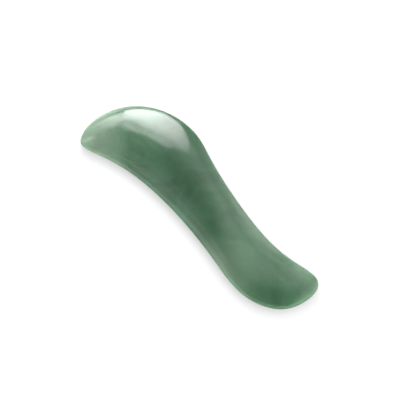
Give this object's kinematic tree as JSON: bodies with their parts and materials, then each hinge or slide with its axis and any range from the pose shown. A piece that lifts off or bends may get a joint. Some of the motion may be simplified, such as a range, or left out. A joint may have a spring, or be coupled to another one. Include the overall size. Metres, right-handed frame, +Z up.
{
  "type": "gua sha scraper",
  "caption": "Flat wavy hand scraper of polished green stone, with a broad hooked head, a narrower swollen tail, a domed top, a flat underside and a thin rounded edge all round.",
  "frame": {"origin": "on the resting plane, at the middle of the outline's box", "axes": "+Z up, out of the domed top; +X along the blade, from the head to the tail"},
  "size_m": [0.1104, 0.0382, 0.0072],
  "materials": {
    "green_stone": "polished"
  },
  "bodies": {
    "root": {"stone_blade": "green_stone"}
  },
  "joints": []
}
